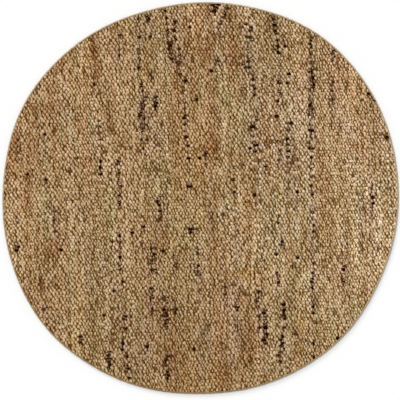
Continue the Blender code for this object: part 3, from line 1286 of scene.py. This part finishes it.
@dataclass
class WovenField:
    """The thick weft yarns that go over and under the warp, cut to the outline."""

    weave: Weave
    thickness: float
    pixel: float
    strips: int = 6
    rings_per_crossing: int = 3
    crest_spread: float = 0.75  # how far a crossing's rings lie from its middle, against even rings
    sides: int = 6
    crest_width: float = 0.0108
    middle_width: float = 0.0076
    crest_height: float = 0.0062
    middle_height: float = 0.0066
    swell_power: float = 1.4  # how late a yarn widens as it nears its crest
    flat_top: float = 1.155  # what a six-sided section's height gains for its flat top to be as high
    lean: float = 0.0008  # sideways swing of a yarn as it climbs, which slants each crest
    yarn_scatter: float = 0.0033  # how far a yarn sways off its line, from side to side
    crest_scatter: float = 0.0052  # and each of its crests, sideways
    row_scatter: float = 0.0036  # and each of its crests, lengthways
    length_scatter: float = 0.004  # how much longer or shorter crests are
    sink: float = 0.35  # how much lower the lowest crests lie, in shares of the swing
    least_size: float = 0.78  # of a crest, as a share of its yarn's girth
    size_range: float = 0.44
    girth_effect: float = 0.6  # how far a yarn's girth shows in its section
    slubs: Wander = Wander(per_yarn=5.7, per_metre=26.0, layer=1.0)
    slub_size: float = 0.8
    sways: Wander = Wander(per_yarn=3.1, per_metre=9.0, layer=2.0)
    rim_squeeze: float = 0.78  # thickness left where the binding grips the yarns
    grip_width: float = 0.005
    unevenness: float = 0.65  # how much thicker the thickest yarn is than the thinnest
    fine_band: FineBand = FineBand(yarn=188, spread=22, share=0.17)
    girth_layer: float = -999.0  # keeps the chance of a yarn's girth apart from its crests'
    pattern_shift: float = 3.37  # turns of the pattern from yarn to yarn, so that no two match
    finish: YarnFinish = field(default_factory=YarnFinish)
    pieces: list[bpy.types.Object] = field(default_factory=list)

    @property
    def rings(self) -> int:
        """Rings of points along a yarn that spans the whole rug with a little to spare."""
        crossings = int(self.weave.span / self.weave.warp_pitch)
        return 2 * ((crossings * self.rings_per_crossing) // 2) + 1

    @property
    def crossings_up(self) -> int:
        """Whole crossings from the middle of a yarn to its end."""
        return self.rings // 2 // self.rings_per_crossing

    def tree(self, inputs: Table) -> Graph:
        """Draws the Geometry Nodes tree of a strip of yarns.

        Args:
            inputs: The tree's inputs by name.

        Returns:
            The tree.
        """
        graph = Graph.geometry("weft_yarns")
        first, count, warp_pitch, crest_width, thickness, seed, material = graph.entries(inputs)
        strand = self.many_strands(graph, first, count)
        yarn, turn = graph.named("yarn"), graph.named("turn")
        even = (graph.named("ring") - self.rings // 2) / self.rings_per_crossing
        nearest = graph.math("FLOOR", even + 0.5)
        crossing = nearest + (even - nearest) * self.crest_spread
        wave = graph.cos((crossing + yarn) * math.pi)
        rise = graph.sin((crossing + yarn) * math.pi)
        line_y = crossing * warp_pitch

        side_chance, long_chance, size_chance = graph.chance(graph.vector(yarn, nearest, seed))
        length_chance, sink_chance, _ = graph.chance(graph.vector(yarn, nearest, seed + 1.0))
        x, y = self.weave.placed(graph, graph.named("line_x"), line_y, seed)
        x = x + self.wandering(graph, self.sways, line_y, seed) * self.yarn_scatter
        x = x + (side_chance - 0.5) * self.crest_scatter - rise * self.lean
        y = y + (long_chance - 0.5) * self.row_scatter
        strand, radius, limit, full = self.weave.cut(graph, strand, x, y)

        slub = self.wandering(graph, self.slubs, line_y, seed) * self.slub_size + 1.0
        girth = graph.named("girth") * self.girth_effect + (1 - self.girth_effect)
        size = size_chance * self.size_range + self.least_size
        width, height = self.section(graph, wave, crest_width, size * girth * slub * full)
        angle = turn * math.tau
        swing = (thickness - self.crest_height) * 0.5
        up = wave * swing * (sink_chance * -self.sink + 1.0) + graph.sin(angle) * height * 0.5
        grip = (limit - radius) / self.grip_width * (1 - self.rim_squeeze) + self.rim_squeeze
        z = graph.math("MAXIMUM", up * grip.clamped(self.rim_squeeze, 1.0) + thickness * 0.5, 0.0)
        pull = graph.math("MINIMUM", limit / radius, 1.0)
        stretch = (even - nearest) * (length_chance - 0.5) * self.length_scatter
        side_x = x * pull + graph.cos(angle) * width * 0.5
        side_x, side_y = self.weave.held_in(graph, side_x, (y + stretch) * pull)
        # depth in the weave, which the material turns into painted shade in the hollows
        strand = graph.store(strand, DEPTH_LAYER, graph.math("ABSOLUTE", up) / (thickness * 0.5))
        strand = graph.moved(strand, side_x, side_y, z)

        pattern_turn = turn + yarn * self.pattern_shift
        strand = graph.store_map(strand, YARN_MAP, line_y + MAP_START, pattern_turn)
        bake_up = (yarn - first + BAKE_MARGIN + turn * BAKE_FILL) / count
        strand = graph.store_map(strand, BAKE_MAP, line_y / self.weave.span + 0.5, bake_up)
        graph.end(strand, material)
        return graph

    def wandering(self, graph: Graph, wander: Wander, line_y: Term, seed: Term) -> Term:
        """How a yarn wanders at a place along it, from about -0.5 to 0.5."""
        across, along = graph.named("yarn") * wander.per_yarn, line_y * wander.per_metre
        return graph.noise(graph.vector(across, along, seed * wander.layer), 1.0, 1.0) - 0.5

    def section(self, graph: Graph, wave: Term, crest_width: Term, size: Term) -> tuple[Term, Term]:
        """A yarn's section, pressed wide and flat at its crests.

        Args:
            graph: The tree to write in.
            wave: 1 on the upper crests and -1 on the lower ones.
            crest_width: The width of a crest.
            size: How full the yarn is, as a factor.

        Returns:
            Its width and height.
        """
        flat = graph.math("ABSOLUTE", wave)
        width = (crest_width - self.middle_width) * flat ** self.swell_power + self.middle_width
        height = flat * (self.crest_height - self.middle_height) + self.middle_height
        return width * size, height * size * self.flat_top

    def many_strands(self, graph: Graph, first: Term, count: Term) -> Term:
        """Lays out one flat strip of points for each yarn, with its numbers stored on it.

        Args:
            graph: The tree to write in.
            first: Number of the strip's first yarn.
            count: Number of yarns.

        Returns:
            The real strips, each a grid of rings by sides.
        """
        strand, along = graph.strip(self.sides, self.rings)
        ring = graph.math("ROUND", (along + 0.5) * (self.rings - 1))
        strand = graph.store(strand, "ring", ring)
        yarn = graph.index()
        _, thick_chance, _ = graph.chance(graph.vector(yarn, self.girth_layer, SEED))
        off = (yarn - self.fine_band.yarn) / self.fine_band.spread
        fine = graph.math("EXPONENT", off * off * -1.0) * self.fine_band.share
        girth = (thick_chance * self.unevenness + (1 - self.unevenness / 2)) * (1.0 - fine)
        sums = graph.node("GeometryNodeAccumulateField", {"Value": girth})
        middle = (Term(graph, sums.outputs["Leading"]) + Term(graph, sums.outputs["Trailing"])) * 0.5
        share = middle / Term(graph, sums.outputs["Total"])
        line = graph.term("GeometryNodeMeshLine", {"Count": self.weave.yarns})
        line = graph.store(line, "yarn", yarn)
        line = graph.store(line, "girth", girth)
        line = graph.store(line, "line_x", (share - 0.5) * (self.weave.yarns * self.weave.weft_pitch))
        from_middle = graph.math("ABSOLUTE", yarn - first - (count - 1.0) * 0.5)
        chosen = graph.math("LESS_THAN", from_middle, count * 0.5)
        return graph.repeated(line, strand, chosen)

    def build(self) -> None:
        """Weaves the yarns, strip by strip."""
        each = self.weave.yarns // self.strips
        inputs = {
            "First Yarn": 0,
            "Yarns": each,
            "Warp Pitch": self.weave.warp_pitch,
            "Crest Width": self.crest_width,
            "Thickness": self.thickness,
            "Seed": SEED,
            "Yarn Material": self.finish.made(),
        }
        graph = self.tree(inputs)
        for strip in range(self.strips):
            inputs["First Yarn"] = strip * each
            self.pieces.append(graph.grown(f"weft_yarns_{strip + 1}", inputs))
        self.dye_yarns()

    def dye_yarns(self) -> None:
        """Gives every point of every yarn its colour."""
        places = self.crossing_places()
        across = PHOTO_MIDDLE[0] + places[..., 0] / self.pixel
        down = PHOTO_MIDDLE[1] - places[..., 1] / self.pixel
        colors = DyePlan(across, down).painted()
        for piece in self.pieces:
            layer = piece.data.color_attributes.new(DYE_LAYER, "FLOAT_COLOR", "POINT")
            rgba = colors[self.crossings(piece.data)].astype(np.float32)
            layer.data.foreach_set("color", rgba.ravel())

    def crossings(self, mesh: bpy.types.Mesh) -> tuple[np.ndarray, np.ndarray]:
        """Yarn and crossing that each point of a strip belongs to, both counted from 0."""
        yarn = numbers(mesh, "yarn").round().astype(int)
        crossing = (numbers(mesh, "ring") - self.rings // 2) / self.rings_per_crossing
        return yarn, np.floor(crossing + 0.5).astype(int) + self.crossings_up + 1

    def crossing_places(self) -> np.ndarray:
        """Where each crossing came to lie.

        Returns:
            X and Y by yarn and crossing, from an even lattice where the yarn was cut off.
        """
        rows = np.arange(-self.crossings_up - 1, self.crossings_up + 2)
        yarns = self.weave.yarns
        sums = np.zeros((yarns, len(rows), 2))
        counts = np.zeros((yarns, len(rows), 1))
        for piece in self.pieces:
            points = np.empty(len(piece.data.vertices) * 3, np.float32)
            piece.data.vertices.foreach_get("co", points)
            found = self.crossings(piece.data)
            np.add.at(sums, found, points.reshape(-1, 3)[:, :2])
            np.add.at(counts, found, 1)
        even_x = (np.arange(yarns) - (yarns - 1) / 2)[:, None] * self.weave.weft_pitch
        even = np.stack(np.broadcast_arrays(even_x, rows[None] * self.weave.warp_pitch), -1)
        return np.where(counts > 0, sums / np.maximum(counts, 1), even)


def numbers(mesh: bpy.types.Mesh, name: str) -> np.ndarray:
    """Reads a stored number of every point of a mesh."""
    found = np.empty(len(mesh.vertices), np.float32)
    mesh.attributes[name].data.foreach_get("value", found)
    return found


@dataclass
class WarpGround:
    """The close cloth of loose fibre in the middle of the weave, behind the warp threads, dark partly as
    painted shade seen through the gaps.
    """

    outline: Outline
    thickness: float
    cloth_thickness: float = 0.0006
    inset: float = 0.004
    rings: tuple[float, ...] = (0.0, 0.25, 0.5, 0.75, 1.0)
    steps: int = 180
    finish: ClothFinish = field(default_factory=ClothFinish)
    pieces: list[bpy.types.Object] = field(default_factory=list)

    def build(self) -> None:
        """Makes the ground cloth as one closed thin sheet in the middle of the rug's thickness."""
        rim = self.outline.rim(self.steps, self.inset)
        points, faces = [], []
        for side in (1, -1):
            height = self.thickness / 2 + side * self.cloth_thickness / 2
            start = len(points)
            points.append((0.0, 0.0, height))
            for share in self.rings[1:]:
                points += [(x * share, y * share, height) for x, y in rim]
            for level in range(len(self.rings) - 1):
                for step in range(self.steps):
                    after = (step + 1) % self.steps
                    outer = start + 1 + level * self.steps
                    if level == 0:
                        face = [start, outer + step, outer + after]
                    else:
                        inner = outer - self.steps
                        face = [inner + step, outer + step, outer + after, inner + after]
                    faces.append(face if side > 0 else face[::-1])
        per_side = len(points) // 2
        last = per_side - self.steps
        for step in range(self.steps):
            after = (step + 1) % self.steps
            faces.append([last + after, last + step, per_side + last + step, per_side + last + after])
        mesh = bpy.data.meshes.new("warp_ground")
        mesh.from_pydata(points, [], faces)
        mesh.materials.append(self.finish.made())
        self.pieces.append(add_piece("warp_ground", mesh))


@dataclass
class EdgeBinding:
    """The greyish yarn that is overcast round the cut edge, over a narrow tape."""

    outline: Outline
    thickness: float
    width: float = 0.0055
    tape_steps: int = 360
    tape_wall: float = 0.0011
    tape_depth: float = 0.0009  # how far it lies below the rug's two faces
    tape_squareness: float = 0.6  # under 1 the tape's round turn is squarer
    tape_arc_deg: range = range(90, -91, -30)  # directions of its section's points, top to bottom
    tape_scale: tuple[float, float] = (0.0012, 180.0)  # metres of yarn a side, turns a metre of rim
    stitches: int = 1240
    stitch_width: float = 0.0036
    rings: int = 8
    sides: int = 5
    last_ring: float = 0.99  # the bend from which a stitch's points close up to its end
    wrap: float = 2.25  # radians that a stitch turns from the outside of the edge to its end
    turn_share: float = 0.75  # of the width, as the radius of that turn
    rise_share: float = 0.76  # of half the thickness
    squareness: float = 1.05  # how soon a stitch that comes round the edge lies flat on the tape
    flatness: float = 0.55  # a stitch's thickness, as a share of its width
    least_size: float = 0.8  # as a share of the stitch's width
    size_range: float = 0.3
    place_scatter: float = 0.35  # how far a stitch lies off its place, in stitches
    length_scatter: float = 0.0012
    slant: float = 0.0016  # along the rim, from a stitch's middle to its end
    half_length: float = 0.008  # of a stitch on its yarn map
    pattern_shift: float = 2.77  # turns of the pattern from stitch to stitch, so that no two match
    stitches_per_row: int = 40  # in the bake map
    bake_fill: float = 0.8  # share of its cell there that a stitch covers
    merge_distance: float = 0.00001  # less than the tubes', as stitches are short
    pieces: list[bpy.types.Object] = field(default_factory=list)

    def build(self) -> None:
        """Makes the tape and its stitches."""
        finish = YarnFinish(
            name="binding_yarn",
            plain_dye=Dye.EDGE,
            fibres=Grain(along=300.0, round=6.0, layer=0.0, detail=4.0),
            hairs=Grain(along=900.0, round=24.0, layer=3.0, detail=2.0),
            relief=0.0003,
            twist_length=0.012,
            mottle=0.5,
            # painted shade, darker along the rim's side turned from the light
            painted_side_shade=0.48,
        )
        material = finish.made()
        self.pieces.append(self.tape(material))
        self.pieces.append(self.overcast(material))

    def tape_section(self) -> list[tuple[float, float]]:
        """The tape's C-shaped section, as a closed loop.

        Returns:
            Its points, each as a distance out from the rim and a height.
        """
        section = []
        for sign, shrink in ((1, 0.0), (-1, self.tape_wall)):
            reach = self.width - shrink
            rise = self.thickness / 2 - self.tape_depth - shrink
            for turned in self.tape_arc_deg:
                angle = math.radians(turned) * sign
                out = reach * max(math.cos(angle), 0.0) ** self.tape_squareness
                section.append((out - self.width, self.thickness / 2 + rise * math.sin(angle)))
        return section

    def tape(self, material: bpy.types.Material) -> bpy.types.Object:
        """Sweeps the tape's section round the rim.

        Args:
            material: Its finish.

        Returns:
            The tape.
        """
        section = self.tape_section()
        size = len(section)
        rim = self.outline.rim(self.tape_steps)
        points, faces, corners = [], [], []
        for step, place in enumerate(rim):
            outward = place / np.linalg.norm(place)
            points += [(*(place + outward * reach), height) for reach, height in section]
            start, after = step * size, (step + 1) % self.tape_steps * size
            for side in range(size):
                beside = (side + 1) % size
                faces.append([start + side, start + beside, after + beside, after + side])
                corners += [(side, step), (side + 1, step), (side + 1, step + 1), (side, step + 1)]
        mesh = bpy.data.meshes.new("binding_tape")
        mesh.from_pydata(points, [], faces)
        mesh.materials.append(material)
        mesh.shade_smooth()
        along, around = self.tape_scale
        step_length = math.tau * self.outline.radius / self.tape_steps
        spots = np.array(corners) * (along, around * step_length)
        mesh.uv_layers.new(name=YARN_MAP).uv.foreach_set("vector", spots.astype(np.float32).ravel())
        return add_piece("binding_tape", mesh)

    def overcast(self, material: bpy.types.Material) -> bpy.types.Object:
        """Winds the stitches round the edge by Geometry Nodes.

        Args:
            material: Their finish.

        Returns:
            All stitches, as one piece.
        """
        graph = Graph.geometry("overcast_stitches")
        inputs = {
            "Stitches": self.stitches,
            "Reach": self.width,
            "Half Height": self.thickness / 2,
            "Yarn Width": self.stitch_width,
            "Seed": SEED,
            "Yarn Material": material,
        }
        count, reach, half, girth, seed, dress = graph.entries(inputs)
        stitch, along = graph.strip(self.sides, self.rings)
        stitch = graph.store(stitch, "bend", along * 2.0)
        line = graph.term("GeometryNodeMeshLine", {"Count": count})
        many = graph.repeated(graph.store(line, "stitch", graph.index()), stitch)
        number, turn, bend = graph.named("stitch"), graph.named("turn"), graph.named("bend")

        place_chance, size_chance, length_chance = graph.chance(graph.vector(number, seed, 2.0))
        open_ring = graph.math("LESS_THAN", graph.math("ABSOLUTE", bend), self.last_ring)
        size = size_chance * self.size_range + self.least_size
        half_girth = girth * size * open_ring * 0.5
        side_angle = turn * math.tau
        swell = half_girth * graph.cos(side_angle) * self.flatness
        arc = bend * self.wrap
        centre = reach * self.turn_share
        out = (centre + swell) * graph.cos(arc) - centre
        out = out + (length_chance - 0.5) * self.length_scatter
        level = (graph.sin(arc) * self.squareness).clamped(-1.0, 1.0)
        up = (half * self.rise_share + swell) * level + half
        aside = bend * self.slant + half_girth * graph.sin(side_angle)
        angle = (number + (place_chance - 0.5) * self.place_scatter) / count * math.tau
        radius = self.outline.swell(graph, angle) * self.outline.radius + out
        middle_x, middle_y = self.outline.middle().tolist()
        x = radius * graph.cos(angle) - aside * graph.sin(angle) - middle_x
        y = radius * graph.sin(angle) + aside * graph.cos(angle) - middle_y
        many = graph.moved(many, x, y, graph.math("MAXIMUM", up, 0.0))

        pattern_turn = turn + number * self.pattern_shift
        many = graph.store_map(many, YARN_MAP, bend * self.half_length + MAP_START, pattern_turn)
        margin = (1 - self.bake_fill) / 2
        cells = float(self.stitches_per_row)
        rows = math.ceil(self.stitches / self.stitches_per_row)
        cell = graph.math("MODULO", number, cells) + margin + (bend * 0.5 + 0.5) * self.bake_fill
        row = graph.math("FLOOR", number / cells) + margin + turn * self.bake_fill
        many = graph.store_map(many, BAKE_MAP, cell / cells, row / float(rows))
        graph.end(many, dress, self.merge_distance)
        return graph.grown("binding_stitches", inputs)


class Beam(NamedTuple):
    """A wide soft light from one side."""

    name: str
    share: float  # of the light that falls on the floor, where 1 makes white paper white
    from_deg: float  # direction that it comes from, turned from +X
    height_deg: float  # above the floor
    softness_deg: float  # how wide it looks from the rug


@dataclass
class Studio:
    """Floor, light and camera."""

    pixel: float
    rug_thickness: float
    floor_size: float = 40.0
    floor_drop: float = 0.0003  # below the rug, so that the two don't share a face
    ambient: float = 0.66
    beams: tuple[Beam, ...] = (
        Beam("high_key", share=0.29, from_deg=125, height_deg=57, softness_deg=20),
        Beam("low_key", share=0.160, from_deg=117, height_deg=27, softness_deg=20),
    )
    camera_height: float = 3.55
    sensor: float = 36.0

    def build(self) -> None:
        """Sets up the floor, the light and the camera."""
        self.floor()
        self.lights()
        self.camera()

    def floor(self) -> None:
        """Lays a wide pale floor."""
        place = (0.0, 0.0, -self.floor_drop)
        bpy.ops.mesh.primitive_plane_add(size=self.floor_size, location=place)
        floor = bpy.context.object
        floor.name = "floor"
        floor.data.materials.append(PlainFinish("pale_floor", (0.9, 0.9, 0.9, 1.0)).made())

    def lights(self) -> None:
        """Hangs the soft lights at the upper left, over even light from all round."""
        scene = bpy.context.scene
        world = bpy.data.worlds.new("soft_room")
        world.use_nodes = True
        back = world.node_tree.nodes["Background"]
        back.inputs["Color"].default_value = (1.0, 1.0, 1.0, 1.0)
        back.inputs["Strength"].default_value = self.ambient
        scene.world = world
        for beam in self.beams:
            light = bpy.data.lights.new(beam.name, "SUN")
            light.energy = beam.share * math.pi / math.sin(math.radians(beam.height_deg))
            light.angle = math.radians(beam.softness_deg)
            lamp = bpy.data.objects.new(beam.name, light)
            lamp.rotation_euler = (0.0, math.radians(90 - beam.height_deg), math.radians(beam.from_deg))
            scene.collection.objects.link(lamp)
        scene.view_settings.view_transform = "Standard"

    def camera(self) -> None:
        """Looks straight down, so that the rug fills the frame as in the photo."""
        view = bpy.data.cameras.new("photo_view")
        view.sensor_width = self.sensor
        width = PHOTO_SIDE * self.pixel
        view.lens = self.sensor * (self.camera_height - self.rug_thickness) / width
        holder = bpy.data.objects.new("photo_view", view)
        middle = PHOTO_SIDE / 2
        x = (middle - PHOTO_MIDDLE[0]) * self.pixel
        y = (PHOTO_MIDDLE[1] - middle) * self.pixel
        holder.location = (x, y, self.camera_height)
        bpy.context.scene.collection.objects.link(holder)
        bpy.context.scene.camera = holder


def settle(pieces: Iterable[bpy.types.Object], node: str) -> None:
    """Fixes finished pieces to the frame.

    Args:
        pieces: The pieces.
        node: The CAD node that they stand for.
    """
    for piece in pieces:
        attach(piece, BODY)
        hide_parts(node)
        log.info("%s: %d faces", piece.name, len(piece.data.polygons))


def main() -> None:
    """Builds the rug and its studio."""
    logging.basicConfig(level=logging.INFO, format="%(message)s")
    low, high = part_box(FIELD_NODE)
    rim_low, rim_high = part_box(BINDING_NODE)
    thickness = high.z - low.z
    pixel = (rim_high.x - rim_low.x) / PHOTO_RUG_WIDTH
    outline = Outline()

    weave = Weave(outline)
    woven = WovenField(weave, thickness, pixel)
    woven.build()
    warp = WarpThreads(weave, thickness)
    warp.build()
    ground = WarpGround(outline, thickness)
    ground.build()
    binding = EdgeBinding(outline, thickness)
    binding.build()
    settle(woven.pieces + warp.pieces + ground.pieces, FIELD_NODE)
    settle(binding.pieces, BINDING_NODE)

    area = outline.area()
    Studio(pixel, thickness).build()


if __name__ == "__main__":
    main()
